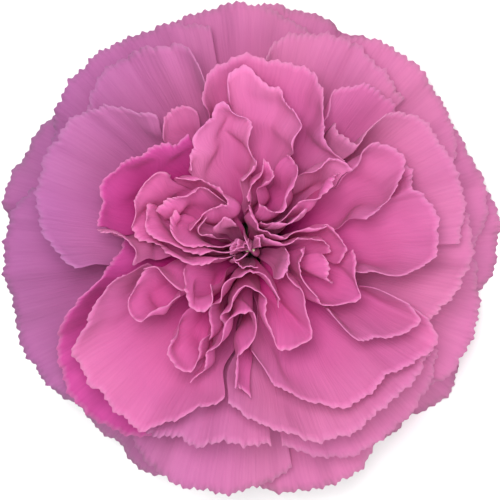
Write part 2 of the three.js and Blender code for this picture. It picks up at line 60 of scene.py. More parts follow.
def bloom_frame():
    """Turns the bloom's own frame, in metres, into the shared one."""
    middles, normals, areas = faces_of("receptacle")
    keys = np.round(normals, 2)
    widest = max({tuple(k) for k in keys}, key=lambda k: areas[(keys == k).all(axis=1)].sum())
    top = (keys == widest).all(axis=1)
    axis = Vector(np.average(normals[top], axis=0, weights=areas[top])).normalized()
    seat = Vector(np.average(middles[top], axis=0, weights=areas[top]))
    middles, _, areas = faces_of("bract_1")
    aside = Vector(np.average(middles, axis=0, weights=areas)) - seat
    right = (aside - axis * aside.dot(axis)).normalized()
    ahead = axis.cross(right)
    turned = Matrix((right, ahead, axis)).transposed().to_4x4()
    foot = seat - axis * (FOOT_HEIGHT - CLEARANCE) * MM
    return Matrix.Translation(foot) @ turned


IN_FRAME = bloom_frame()


def placed(points):
    """Points of the bloom's own frame, in millimetres, as points of the shared one in metres."""
    turn = np.array(IN_FRAME.to_3x3())
    return points * MM @ turn.T + np.array(IN_FRAME.translation)


def round_axis(radius, azimuth, height):
    """Points of the bloom's own frame, by their distance and direction from its axis."""
    return np.stack([radius * np.cos(azimuth), radius * np.sin(azimuth), height], axis=1)


def move_corners(piece, points):
    """Puts the corners of a piece's mesh at these points of the shared frame."""
    piece.data.vertices.foreach_set("co", points.astype(np.float32).ravel())
    piece.data.update()


def cloudy(material, where, scale, detail):
    """A cloudy pattern over the surface, between 0 and 1."""
    noise = material.node_tree.nodes.new("ShaderNodeTexNoise")
    noise.inputs["Scale"].default_value = scale
    noise.inputs["Detail"].default_value = detail
    material.node_tree.links.new(where, noise.inputs["Vector"])
    return noise.outputs["Fac"]


def two_tone(material, pattern, low, high):
    """Turns a pattern into two colours, each given with where on the pattern it starts."""
    ramp = material.node_tree.nodes.new("ShaderNodeValToRGB")
    for stop, (place, colour) in zip(ramp.color_ramp.elements, (low, high)):
        stop.position = place
        stop.color = (*colour, 1)
    material.node_tree.links.new(pattern, ramp.inputs["Fac"])
    return ramp.outputs["Color"]


def green_skin(name, colour, dark, streaks):
    """Smooth plant skin with a waxy bloom: fine streaks up the stem and soft patches of dust."""
    material = bpy.data.materials.new(name)
    material.use_nodes = True
    nodes, links = material.node_tree.nodes, material.node_tree.links
    shader = nodes["Principled BSDF"]
    shader.inputs["Specular IOR Level"].default_value = 0.35
    shader.inputs["Subsurface Weight"].default_value = 0.1
    shader.inputs["Subsurface Radius"].default_value = (0.4, 1.0, 0.2)
    shader.inputs["Subsurface Scale"].default_value = 0.001
    place = nodes.new("ShaderNodeTexCoord")
    along = nodes.new("ShaderNodeMapping")
    along.inputs["Rotation"].default_value = IN_FRAME.to_3x3().transposed().to_euler()
    along.inputs["Scale"].default_value = streaks
    links.new(place.outputs["Object"], along.inputs["Vector"])
    grain = cloudy(material, along.outputs["Vector"], 1, 4)
    patches = cloudy(material, place.outputs["Object"], 260, 5)
    tone = two_tone(material, grain, (0.34, dark), (0.66, colour))
    dust = nodes.new("ShaderNodeMix")
    dust.data_type = "RGBA"
    dust.inputs[7].default_value = (0.5, 0.6, 0.47, 1)
    amount = nodes.new("ShaderNodeMapRange")
    amount.inputs["From Min"].default_value = 0.5
    amount.inputs["From Max"].default_value = 0.8
    amount.inputs["To Max"].default_value = 0.5
    links.new(patches, amount.inputs["Value"])
    links.new(amount.outputs["Result"], dust.inputs["Factor"])
    links.new(tone, dust.inputs[6])
    links.new(dust.outputs[2], shader.inputs["Base Color"])
    gloss = nodes.new("ShaderNodeMapRange")
    gloss.inputs["To Min"].default_value = 0.38
    gloss.inputs["To Max"].default_value = 0.62
    links.new(patches, gloss.inputs["Value"])
    links.new(gloss.outputs["Result"], shader.inputs["Roughness"])
    bump = nodes.new("ShaderNodeBump")
    bump.inputs["Strength"].default_value = 0.3
    bump.inputs["Distance"].default_value = 0.00015
    links.new(grain, bump.inputs["Height"])
    links.new(bump.outputs["Normal"], shader.inputs["Normal"])
    return material


def revolved(name, profile, steps):
    """A closed turned shape round the bloom's axis, from radii and heights in millimetres.
    A drum two layers deep is drawn out a layer at a time, and each ring is then put in its place."""
    bpy.ops.object.select_all(action="DESELECT")
    bpy.ops.mesh.primitive_cylinder_add(
        vertices=steps, radius=profile[0][0], depth=2 * MM, end_fill_type="NGON")
    piece = bpy.context.object
    piece.name = piece.data.name = name
    bpy.ops.object.mode_set(mode="EDIT")
    bpy.ops.mesh.select_all(action="DESELECT")
    bpy.ops.object.mode_set(mode="OBJECT")
    top = max(piece.data.polygons, key=lambda face: face.center.z)
    top.select = True
    bpy.ops.object.mode_set(mode="EDIT")
    for _ in profile[2:]:
        bpy.ops.mesh.extrude_region_move(TRANSFORM_OT_translate={"value": (0, 0, MM)})
    bpy.ops.object.mode_set(mode="OBJECT")
    spots = np.array([vertex.co[:] for vertex in piece.data.vertices])
    layer = np.round((spots[:, 2] - spots[:, 2].min()) / MM).astype(int)
    ring = np.where(layer > 1, layer - 1, layer)
    azimuth = np.arctan2(spots[:, 1], spots[:, 0])
    radius, height = np.array(profile).T
    move_corners(piece, placed(round_axis(radius[ring], azimuth, height[ring])))
    return piece


CREASE = 40


def finish_green(piece, material, node):
    """Smooths a green piece up to its creases, colours it, and ties it to the part."""
    bpy.ops.object.select_all(action="DESELECT")
    piece.select_set(True)
    bpy.context.view_layer.objects.active = piece
    bpy.ops.object.shade_smooth_by_angle(angle=math.radians(CREASE))
    piece.data.materials.append(material)
    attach(piece, "root")
    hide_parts(node)


STEM_RADIUS = 2.8
STEM_LENGTH = 2.6
CUT_EDGE = 0.25
FLARE_STEPS = 10
FLARE_EDGE = 0.12
FOOT_RADIUS = 5.9
CLAW_THICKNESS = 0.17
CALYX_WALL = 0.6
CALYX_FOOT_RADIUS = FOOT_RADIUS + CLAW_THICKNESS / 2 + CLEARANCE + CALYX_WALL


def receptacle_profile():
    """Cut face with a soft edge, a slightly waisted stub, and the flare under the calyx."""
    profile = [(0.35, 0.18), (1.5, 0.08), (STEM_RADIUS - CUT_EDGE, 0), (STEM_RADIUS - 0.05, 0.08)]
    profile += [(STEM_RADIUS, CUT_EDGE), (STEM_RADIUS - 0.12, 1.3), (STEM_RADIUS, STEM_LENGTH)]
    for i in range(1, FLARE_STEPS + 1):
        t = i / FLARE_STEPS
        legs = [(STEM_RADIUS, STEM_LENGTH), (STEM_RADIUS + 0.3, STEM_LENGTH + 1.4)]
        legs += [(CALYX_FOOT_RADIUS, STEM_LENGTH + 1.2), (CALYX_FOOT_RADIUS, FOOT_HEIGHT - CLEARANCE - 0.9)]
        shares = [(1 - t) ** 3, 3 * t * (1 - t) ** 2, 3 * t * t * (1 - t), t ** 3]
        profile.append(tuple(sum(s * leg[k] for s, leg in zip(shares, legs)) for k in (0, 1)))
    top = FOOT_HEIGHT - CLEARANCE
    edge = [(CALYX_FOOT_RADIUS, top - FLARE_EDGE), (CALYX_FOOT_RADIUS - FLARE_EDGE, top)]
    return profile + edge + [(2, top), (0.4, top)]


STEM_SKIN = green_skin("stem_skin", (0.3, 0.42, 0.16), (0.2, 0.31, 0.1), (900, 900, 60))
CUT_FLESH = green_skin("cut_flesh", (0.62, 0.68, 0.42), (0.45, 0.56, 0.28), (2600, 2600, 400))
CUT_HEIGHT = 0.0004
CUT_FACING = 0.7
stump = revolved("receptacle_and_stem", receptacle_profile(), 64)
finish_green(stump, STEM_SKIN, "receptacle")
stump.data.materials.append(CUT_FLESH)
down = (IN_FRAME.to_3x3() @ Vector((0, 0, -1))).normalized()
for face in stump.data.polygons:
    above_cut = (IN_FRAME.inverted() @ face.center).z
    if above_cut < CUT_HEIGHT and face.normal.dot(down) > CUT_FACING:
        face.material_index = 1

# ---- Guard petals ----
# The outermost ring: broad petals that spread flat and droop, toothed along the rim and finely veined.
# Each is a blade on a narrow claw that stands on the receptacle inside the calyx.
# Petals lie in nested cups, numbered by shell: 0 is round the styles, 1 is against the calyx.
MOUTH_HEIGHT = 22.0
MOUTH_RADIUS = 7.7
OVARY_RADIUS = 1.9
STYLE_CHANNEL = 1.1
RISE = 5.5
BEND_INNER = 4.0
BEND_OUTER = 3.3
OPENING = 92.0
OPENING_OUTER = 17.0
FLARE = 370.0
UPTURN = 950.0
DROOP = 34.0
CURL_LENGTH = 30.0
LEAST_CURL = 1e-6
DOME_INNER = 17.5
DOME_OUTER = 36.0
LONGEST_GUARD = 1.2
CLAW_WIDTH = 0.3
CLAW_SHARE = 0.22
FAN_SHARE = 0.4
FOOT_GAP = 0.5
PETAL_THICKNESS = 0.14
HALVINGS = 40
# how many round the bloom, how deep in shells, how far each turns from shell to shell, and its start
RUFFLES = [(9, 0.020, 16.0, 0.0), (23, 0.007, 31.0, 1.1), (51, 0.0022, 47.0, 2.3)]
RUFFLE_LENGTH = 34
RUFFLE_SHARE = 0.35
# pitch and depth in millimetres
RIM_TEETH = [(6.5, 0.5), (2.6, 0.42), (1.15, 0.42)]
TOOTH_DRIFT = 0.35
DRIFT_PITCH = 2.7
# length and depth in millimetres, and how many times the petal's seed each starts at
RIM_WAVES = [(2.6, 1.1, 1), (0.9, 0.5, 2)]
ROLL = 0.012
ROLL_FROM = 0.78
ROLL_LENGTH = 3.4
DENT = 0.5
DENT_START = 3
DENT_RAMP = 6
DENT_HEART = 9
DENT_AT_AXIS = 0.15
DENT_END = 30
DENT_FADE = 12
COLUMNS = 150
ROWS = 30
UV_WIDTH = 50


def mix(a, b, t):
    return a + (b - a) * t


def mouth_radius(shell):
    return mix(STYLE_CHANNEL, MOUTH_RADIUS, shell)


def blade_profile(shell, length):
    """Where a shell of the opening bud has got to, so far beyond the mouth: radius and height."""
    between = shell * (1 - shell) ** 2
    rise = RISE * (1 - shell)
    bend = mix(BEND_INNER, BEND_OUTER, shell)
    turn = np.radians(OPENING * shell + OPENING_OUTER * shell ** 3 + FLARE * between)
    turned = np.minimum(np.maximum(0, length - rise) / bend, turn)
    radius = mouth_radius(shell) + bend * (1 - np.cos(turned))
    height = MOUTH_HEIGHT + np.minimum(length, rise) + bend * np.sin(turned)
    rest = np.maximum(0, length - rise - bend * turned)
    curl = np.radians(DROOP * shell * (shell - 0.5) - UPTURN * between) / CURL_LENGTH
    curl = np.where(np.abs(curl) < LEAST_CURL, LEAST_CURL, curl)
    radius += (np.cos(turn) - np.cos(turn + curl * rest)) / curl
    height += (np.sin(turn + curl * rest) - np.sin(turn)) / curl
    return radius, height


def dome_length(shell):
    """How long a blade in this shell is, where it ends on the bloom's domed face."""
    return mix(DOME_INNER, DOME_OUTER, shell ** 1.25)


def solve(rising, target, low, high):
    """Where, between low and high, a rising function comes to its target."""
    low = low + np.zeros(np.shape(target))
    high = high + np.zeros(np.shape(target))
    for _ in range(HALVINGS):
        middle = (low + high) / 2
        under = rising(middle) < target
        low = np.where(under, middle, low)
        high = np.where(under, high, middle)
    return (low + high) / 2


def length_to_reach(shell, reach):
    """How long a blade in this shell is, if its rim is to be so far from the axis."""
    low = np.zeros(np.shape(reach))
    high = dome_length(shell) * mix(1, LONGEST_GUARD, shell) + low
    return solve(lambda length: blade_profile(shell, length)[0], reach, low, high)


def ruffled(shell, azimuth, length):
    """The shell that a ruffled blade lies in: all blades share the ruffles, so neighbours nest."""
    wave = 0
    for count, depth, shift, start in RUFFLES:
        wave = wave + depth * np.sin(count * azimuth + shift * shell + start)
    return shell + wave * mix(RUFFLE_SHARE, 1, shell) * (length / RUFFLE_LENGTH) ** 1.5


def teeth(across, width, seed):
    """How far the rim's teeth stand out, in millimetres, along a rim so many millimetres wide."""
    rng = np.random.default_rng(seed)
    way = across * width
    edge = np.zeros_like(across)
    for pitch, depth in RIM_TEETH:
        drift = pitch * TOOTH_DRIFT * np.sin(way / pitch / DRIFT_PITCH + rng.uniform(0, 6))
        place = (way + drift) / pitch + rng.uniform()
        edge += depth * (1 - 2 * np.abs(place % 1 - 0.5)) * rng.uniform(0.8, 1.2)
    return edge


def crumple(points):
    """Soft dents that run through neighbouring petals alike, as in petals pressed together in the bud.
    They are deepest in the heart, and fade towards the mouth, the axis and the outer petals."""
    x, y, z = points.T
    radius = np.hypot(x, y)
    amount = DENT * np.clip((z - MOUTH_HEIGHT - DENT_START) / DENT_RAMP, 0, 1)
    amount = amount * np.clip(radius / DENT_HEART, DENT_AT_AXIS, 1)
    amount = amount * np.clip((DENT_END - radius) / DENT_FADE, 0, 1)
    push = np.stack([
        np.sin(0.95 * y + 0.55 * z + 0.4) + 0.8 * np.sin(0.62 * x - 0.85 * z + 2.0),
        np.sin(0.88 * x - 0.5 * z + 1.3) + 0.8 * np.sin(0.7 * y + 0.9 * z + 0.2),
        0.5 * np.sin(0.7 * x + 0.8 * y + 2.6),
    ], axis=1)
    return points + amount[:, None] * push


def flat_sheet(name, columns, rows):
    """A flat grid, and how far across and along it each corner is, from 0 to 1."""
    bpy.ops.object.select_all(action="DESELECT")
    bpy.ops.mesh.primitive_grid_add(x_subdivisions=columns, y_subdivisions=rows, size=2, calc_uvs=True)
    sheet = bpy.context.object
    sheet.name = sheet.data.name = name
    spots = np.array([vertex.co[:] for vertex in sheet.data.vertices])
    return sheet, (spots[:, 0] + 1) / 2, (spots[:, 1] + 1) / 2


def thicken(sheet, wall):
    """Gives a sheet its thickness, half of it to each side."""
    solid = sheet.modifiers.new("thickness", "SOLIDIFY")
    solid.thickness = wall * MM
    solid.offset = 0
    bpy.ops.object.modifier_apply(modifier=solid.name)


def petal_mesh(name, curve, rim, root, droop, width, seed, toothed=1.0, soft=0.0):
    """A petal as a sheet, placed corner by corner, then given its thickness."""
    petal, across, along = flat_sheet(name, COLUMNS, ROWS)
    way = across * width
    claw = along < CLAW_SHARE
    share = np.clip((along - CLAW_SHARE) / (1 - CLAW_SHARE), 0, 1)
    fan = np.minimum(1, share / FAN_SHARE)
    spread = mix(CLAW_WIDTH, 1, fan ** 2 * (3 - 2 * fan))
    shell, azimuth = curve(mix(root, across, np.where(claw, CLAW_WIDTH, spread)))
    full = rim(across) + toothed * teeth(across, width, seed)
    full = mix(rim(across), full, share ** 8)
    waves = sum(depth * np.sin(way / wave + turns * seed) for wave, depth, turns in RIM_WAVES)
    full = full + soft * share ** 3 * waves
    length = full * share
    bent = ruffled(shell, azimuth, length) + droop * share ** 2
    roll = np.clip((share - ROLL_FROM) / (1 - ROLL_FROM), 0, 1) ** 2
    bent = bent + soft * ROLL * roll * np.sin(way / ROLL_LENGTH + 2.3 * seed)
    radius, height = blade_profile(bent, length)
    claw_share = along / CLAW_SHARE
    foot = mix(OVARY_RADIUS + FOOT_GAP, FOOT_RADIUS, shell)
    radius = np.where(claw, mix(foot, mouth_radius(shell), claw_share), radius)
    height = np.where(claw, mix(FOOT_HEIGHT, MOUTH_HEIGHT, claw_share), height)
    points = placed(crumple(round_axis(radius, azimuth, height)))
    points[:, 2] = np.maximum(points[:, 2], PETAL_THICKNESS / 2 * MM)
    move_corners(petal, points)
    for loop, spot in zip(petal.data.loops, petal.data.uv_layers.active.data):
        spot.uv = (way[loop.vertex_index] / UV_WIDTH, along[loop.vertex_index])
    thicken(petal, PETAL_THICKNESS)
    for face in petal.data.polygons:
        face.use_smooth = True
    return petal


SIDE_SHADE_REACH = 0.035


def petal_material(name, rim_colour, blade_colour, base_and_fold_shade, fold_shade_to, mauve=False):
    """Thin velvety petal that lets light through: greenish claw, a deep base, blade and paler rim.
    The deep base is partly the petal's own deeper colour and partly painted shade of the folds.
    Painted shade, where asked for: a bluish darkening that deepens towards the bloom's -X side."""
    material = bpy.data.materials.new(name)
    material.use_nodes = True
    nodes, links = material.node_tree.nodes, material.node_tree.links
    shader = nodes["Principled BSDF"]
    shader.inputs["Roughness"].default_value = 0.62
    shader.inputs["Specular IOR Level"].default_value = 0.12
    shader.inputs["Sheen Weight"].default_value = 0.06
    uv = nodes.new("ShaderNodeUVMap")
    split = nodes.new("ShaderNodeSeparateXYZ")
    links.new(uv.outputs["UV"], split.inputs[0])

    ramp = nodes.new("ShaderNodeValToRGB")
    stops = ramp.color_ramp.elements
    stops[0].position, stops[0].color = 0.0, (0.55, 0.62, 0.35, 1)
    stops[1].position, stops[1].color = 1.0, (*rim_colour, 1)
    # The deep base colour is partly the petal's own and partly painted shade of the folds.
    between = mix(np.array(base_and_fold_shade), np.array(blade_colour), 0.6)
    steps = [(0.17, (0.7, 0.4, 0.45)), (0.26, base_and_fold_shade), (fold_shade_to, base_and_fold_shade)]
    steps += [(mix(fold_shade_to, 0.95, 0.45), between), (0.95, blade_colour), (0.98, blade_colour)]
    for place, colour in steps:
        stop = stops.new(place)
        stop.color = (*colour, 1)
    links.new(split.outputs["Y"], ramp.inputs["Fac"])

    stretch = nodes.new("ShaderNodeMapping")
    stretch.inputs["Scale"].default_value = (130, 6, 1)
    links.new(uv.outputs["UV"], stretch.inputs["Vector"])
    veins = cloudy(material, stretch.outputs["Vector"], 1, 3)
    place = nodes.new("ShaderNodeTexCoord")
    blotches = cloudy(material, place.outputs["Object"], 70, 3)

    def tinted(below, pattern, tint, strength):
        """Lays a tint over a colour where the pattern is low."""
        blend = nodes.new("ShaderNodeMix")
        blend.data_type = "RGBA"
        blend.blend_type = "MULTIPLY"
        blend.inputs["Factor"].default_value = strength
        links.new(below, blend.inputs[6])
        links.new(two_tone(material, pattern, (0.32, tint), (0.68, (1, 1, 1))), blend.inputs[7])
        return blend.outputs[2]

    colour = tinted(ramp.outputs["Color"], veins, (0.82, 0.68, 0.8), 0.3)
    colour = tinted(colour, blotches, (0.9, 0.8, 0.96), 0.5)
    # Painted shade: a bluish darkening that grows towards the bloom's -X side.
    if mauve:
        sides = nodes.new("ShaderNodeVectorMath")
        sides.operation = "DOT_PRODUCT"
        sides.inputs[1].default_value = IN_FRAME.to_3x3() @ Vector((1, 0, 0))
        links.new(place.outputs["Object"], sides.inputs[0])
        left = nodes.new("ShaderNodeMapRange")
        left.inputs["From Min"].default_value = 0.0
        left.inputs["From Max"].default_value = -SIDE_SHADE_REACH
        links.new(sides.outputs["Value"], left.inputs["Value"])
        side_shade = nodes.new("ShaderNodeMix")
        side_shade.data_type = "RGBA"
        side_shade.blend_type = "MULTIPLY"
        side_shade.inputs[7].default_value = (0.76, 0.8, 0.94, 1)
        links.new(left.outputs["Result"], side_shade.inputs["Factor"])
        links.new(colour, side_shade.inputs[6])
        colour = side_shade.outputs[2]
    links.new(colour, shader.inputs["Base Color"])
    bump = nodes.new("ShaderNodeBump")
    bump.inputs["Strength"].default_value = 0.6
    bump.inputs["Distance"].default_value = 0.0002
    links.new(veins, bump.inputs["Height"])
    links.new(bump.outputs["Normal"], shader.inputs["Normal"])

    through = nodes.new("ShaderNodeBsdfTranslucent")
    links.new(colour, through.inputs["Color"])
    blend = nodes.new("ShaderNodeMixShader")
    blend.inputs["Fac"].default_value = 0.36
    links.new(shader.outputs["BSDF"], blend.inputs[1])
    links.new(through.outputs["BSDF"], blend.inputs[2])
    links.new(blend.outputs["Shader"], nodes["Material Output"].inputs["Surface"])
    return material


def finish_petal(petal, material):
    """Colours a petal and ties it to the part. Petaloids stand for no CAD piece."""
    petal.data.materials.append(material)
    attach(petal, "root")
    node = petal.name.replace("_blade", "")
    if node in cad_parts:
        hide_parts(node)


GUARD_SHOULDER = 0.11


def spreading_petals(kind, petals, material):
    """Petals that are one broad fan each, to either side of an azimuth."""
    for number, (azimuth, half, shell, reach, droop) in enumerate(petals, 1):
        middle, spread = math.radians(azimuth), math.radians(half)
        full = float(length_to_reach(shell + droop, reach))

        def curve(u):
            return shell + 0 * u, middle + spread * (2 * u - 1)

        def rim(u):
            return full * (1 - GUARD_SHOULDER * np.abs(2 * u - 1) ** 2.6)

        name = f"{kind}_petal_{number:02d}_blade"
        width = 2 * spread * reach
        petal = petal_mesh(name, curve, rim, 0.5, droop, width, number * 7 + len(kind))
        finish_petal(petal, material)


# colours of the rim, the blade and the deep base, which is partly painted shade of the folds, and how far
# out the base's colour runs
# The outer petals take painted shade on the bloom's -X side.
OUTER_PETAL = petal_material(
    "outer_petal", (0.66, 0.25, 0.44), (0.63, 0.2, 0.4), (0.52, 0.05, 0.22), 0.38, mauve=True)
# A darker copy of the petal finish: painted shade for petals that lie in the shadow of their neighbours.
SHADED_PETAL = petal_material(
    "deep_petal", (0.66, 0.19, 0.43), (0.6, 0.085, 0.34), (0.52, 0.014, 0.2), 0.68)
REVERSE_PETAL = petal_material(
    "reverse_petal", (0.76, 0.27, 0.52), (0.76, 0.24, 0.49), (0.62, 0.06, 0.28), 0.42)
# azimuth and half width in degrees, shell, reach in millimetres, and droop in shells
GUARD_PETALS = [
    (97, 24, 0.96, 39.6, 0),
    (72, 24, 0.995, 40.3, 0),
    (47, 23, 0.93, 40, 0),
    (21, 22, 0.965, 39.2, 0),
    (2, 17, 1, 40.3, 0),
    (-20, 22, 0.945, 38.4, 0),
    (-44, 24, 1, 39.4, 0.06),
    (-76, 23, 0.965, 40, 0),
    (-101, 22, 0.93, 39.4, 0),
    (-130, 29, 1, 39.6, 0.06),
    (-167, 29, 0.955, 40.2, 0),
    (157, 25, 1, 40.4, 0),
    (126, 26, 0.925, 39.9, 0),
]
spreading_petals("guard", GUARD_PETALS, OUTER_PETAL)

# ---- Second petals ----
# Nine more spreading petals that lie on the guard petals and show their rims between the gaps.
# They are of the same thin tissue, on claws that stand on the receptacle with those of the guards.
# Each petal: the points that its rim passes, with any shells further out that it runs there; the
# shells further out that it lies all along; where along the rim its claw is; and any tilt in shells.
LINE_STEPS = 400
SHOULDER = 0.07
SECOND_PETALS = [
    ([[2.5, 31], [4, 33.8], [8, 34.6], [12, 34.5], [15.5, 33.8], [18.3, 31.8], [21, 29.5],
      [23.5, 27.5], [26, 25.5]], 0.03, 0.5),
    ([[13.9, 21.4, 0.06], [15.4, 19.1, 0.04], [17.5, 17.3, 0.01], [19.3, 19.4], [22.3, 21.8],
      [26.5, 21.4], [29.5, 18.5], [32.3, 14.8], [34.2, 10], [35, 5], [35.2, 1]], 0, 0.5),
    ([[34.5, 9], [35.6, 4.5], [35.5, -0.5], [34, -5], [31.9, -8.5], [29, -12.5]], 0.035, 0.5),
    ([[-4, -25.5], [-1.3, -26.3], [0.8, -27.4], [4.4, -28.9], [9.1, -30], [14.4, -29.4], [18.6, -27.4],
      [22.5, -24.5], [27, -20.5], [30.5, -16]], 0, 0.5),
    ([[5.4, -32.8], [8.7, -33.2], [13.4, -33.6], [17.5, -32.7], [21.5, -30], [25.5, -26.8],
      [29, -22.5], [32, -17]], 0.03, 0.5),
    ([[-20, -28], [-16, -29.6], [-11, -29.6], [-8.5, -30.7], [-4.4, -30.5], [-0.7, -31.5],
      [3.6, -33]], 0.04, 0.5),
    ([[-20.5, 3, 0.17], [-21.3, -0.2, 0.11], [-22.5, -2.9, 0.05], [-24, -4.8], [-27, -7.5],
      [-29.6, -11], [-30.5, -15.5], [-30.2, -19.5], [-28.8, -23.5], [-26, -27], [-22, -30],
      [-17, -32]], 0.03, 0.5),
    ([[-16, 22.4], [-21, 22.8], [-26, 22.3], [-29.5, 20], [-32, 16], [-33.6, 10.5], [-33.6, 5.5],
      [-32, 1], [-29, -3]], 0, 0.5),
    ([[-27, 22.3], [-26.3, 25.6], [-24.4, 27.8], [-21.7, 29.9], [-17.8, 31.8], [-14, 32.7],
      [-10.7, 33], [-8.8, 31], [-7.6, 28]], 0, 0.5),
]


def smooth_line(line):
    """A smooth line through the points: its steps, how far along it each is, and its shells further out."""
    under = [point[2] if len(point) > 2 else 0 for point in line]
    line = np.array([point[:2] for point in line], dtype=float)
    ends = np.vstack([line[:1], line, line[-1:]])
    t = np.linspace(0, len(line) - 1, LINE_STEPS)
    k = np.minimum(t.astype(int), len(line) - 2)
    w = (t - k)[:, None]
    p0, p1, p2, p3 = ends[k], ends[k + 1], ends[k + 2], ends[np.minimum(k + 3, len(ends) - 1)]
    v0, v1 = (p2 - p0) / 2, (p3 - p1) / 2
    dense = (2 * p1 - 2 * p2 + v0 + v1) * w ** 3
    dense = dense + (3 * p2 - 3 * p1 - 2 * v0 - v1) * w ** 2 + v0 * w + p1
    way = np.concatenate([[0], np.cumsum(np.linalg.norm(np.diff(dense, axis=0), axis=1))])
    return dense, way, np.interp(t, np.arange(len(line)), under)


def lined_petals(kind, petals, material, others, toothed=1.0, soft=0.0):
    """Petals whose rims follow a line each. The others are those of another finish, by number."""
    for number, (line, under, root, *droop) in enumerate(petals, 1):
        dense, way, further = smooth_line(line)
        reach = np.hypot(dense[:, 0], dense[:, 1])
        shells = solve(lambda shell: blade_profile(shell, dome_length(shell))[0], reach, 0, 1)
        shells = shells + under + further
        lengths = length_to_reach(shells, reach)
        azimuths = np.unwrap(np.arctan2(dense[:, 1], dense[:, 0]))
        share = way / way[-1]

        def curve(u):
            return np.interp(u, share, shells), np.interp(u, share, azimuths)

        def rim(u):
            return np.interp(u, share, lengths) * (1 - SHOULDER * np.abs(2 * u - 1) ** 3)

        name = f"{kind}_petal_{number:02d}_blade"
        seed = number * 7 + len(kind)
        petal = petal_mesh(name, curve, rim, root, sum(droop), way[-1], seed, toothed, soft)
        finish_petal(petal, others.get(number, material))


# The seventh second petal gets the darker copy as painted shade.
lined_petals("second", SECOND_PETALS, OUTER_PETAL, {7: SHADED_PETAL})

# ---- Third petals ----
# Ten larger petals that rise from the second ones and cup round the heart.
# They are thin and velvety, with rims that wave a little, and grow on claws as the others do.
THIRD_PETALS = [
    ([[12.8, 22.4], [13, 24.8], [14.5, 25.6], [19, 25.7], [22.5, 24.6], [25, 22.7]], 0.04, 0.5),
    ([[25.2, 15.2, 0.05], [25.9, 12.2, 0.03], [25.4, 9.8], [27.5, 8.5], [29.5, 6], [30.3, 3.3],
      [30.1, 0.5], [28, -2.2], [24, -3.6], [20, -3.6], [17.6, -2.6]], 0, 0.5),
    ([[1, -17], [2.7, -19.5], [5, -22], [8, -24], [12, -24.6], [16, -23.8], [20, -22], [24, -19.5],
      [28, -16.5], [29.6, -14], [29, -11.5], [27, -9.5]], 0, 0.4),
    ([[13.6, -10.2], [15.2, -12.8], [19, -14.3], [23, -13.8], [26.2, -11.6], [25.6, -9.2],
      [23.5, -7.6], [20.5, -7]], 0, 0.5),
    ([[-20.5, -3.6], [-24, -7], [-26.3, -11.5], [-27.2, -15.3], [-25.9, -20], [-23.5, -24],
      [-20.5, -26.8], [-16.8, -28.2], [-12, -27.2], [-7.5, -25.9], [-4.4, -24.5]], 0, 0.5),
    ([[-25, 3.5], [-24.5, 8], [-22, 12], [-18, 15], [-12.5, 17.2], [-9.5, 18.6]], 0, 0.5),
    ([[-14.6, 19.4], [-14, 21.8], [-11.5, 22.9], [-9, 22.4]], 0.02, 0.5),
    ([[-7.8, 24.2], [-7.3, 27], [-5.3, 29.3], [-1, 30.5], [3, 30.5], [7, 30], [9.8, 28], [11.3, 24.5],
      [12, 20.5], [12.8, 17.5], [15, 14.8]], 0, 0.4),
    ([[16.9, 13.4], [18, 16], [21, 16.8], [23.6, 15], [23.9, 11.5], [22.8, 8.5], [21, 6.8],
      [18.5, 5.5]], 0, 0.55),
    ([[-25.5, 3.2], [-22, 2.6], [-19.5, 1.6], [-18.6, -0.3], [-18.8, -2]], 0, 0.5),
]
INNER_PETAL = petal_material(
    "inner_petal", (0.68, 0.235, 0.45), (0.66, 0.185, 0.41), (0.6, 0.022, 0.25), 0.4)
# The sixth third petal, a wall in shadow, gets the darker copy as painted shade.
lined_petals("third", THIRD_PETALS, INNER_PETAL, {6: SHADED_PETAL}, 0.9, 0.4)

